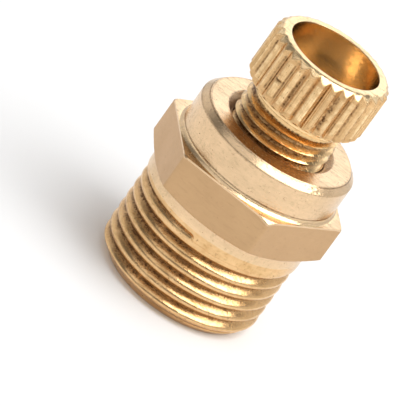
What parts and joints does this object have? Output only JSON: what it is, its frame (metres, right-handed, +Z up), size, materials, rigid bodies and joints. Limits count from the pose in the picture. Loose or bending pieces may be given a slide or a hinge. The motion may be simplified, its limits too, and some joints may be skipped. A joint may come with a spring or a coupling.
{
  "type": "needle valve",
  "caption": "Screw-down brass needle drain valve with a male pipe-threaded body, spanner hexagon, collar and a hollow fluted cup knob on a threaded stem.",
  "frame": {"origin": "centre of the threaded end's face, on the valve's axis", "axes": "+Z up the valve's axis from the threaded end towards the cup knob; -Y square to the hexagon flat that faces the camera in the picture"},
  "size_m": [0.0196, 0.017, 0.0279],
  "materials": {
    "body_brass": "satin",
    "screw_brass": "satin",
    "needle_steel": "satin",
    "seat_plastic": "matte",
    "seal_rubber": "matte"
  },
  "bodies": {
    "body": {"valve_body": "body_brass", "seat_ring": "seat_plastic"},
    "seal": {"stem_seal": "seal_rubber"},
    "screw": {"drain_screw": "screw_brass", "needle": "needle_steel"}
  },
  "joints": [
    {"name": "screw_lift", "type": "slide", "parent": "body", "child": "seal", "axis": [0, 0, 1], "range_m": [-0.0024, 0.0008]},
    {"name": "screw_turn", "type": "hinge", "parent": "seal", "child": "screw", "pos_m": [0, 0, 0.02], "axis": [0, 0, 1], "range_deg": [-864, 288]}
  ],
  "couplings": [
    {"joint": "screw_lift", "follows": "screw_turn", "m_per_rad": 0.00015915}
  ]
}
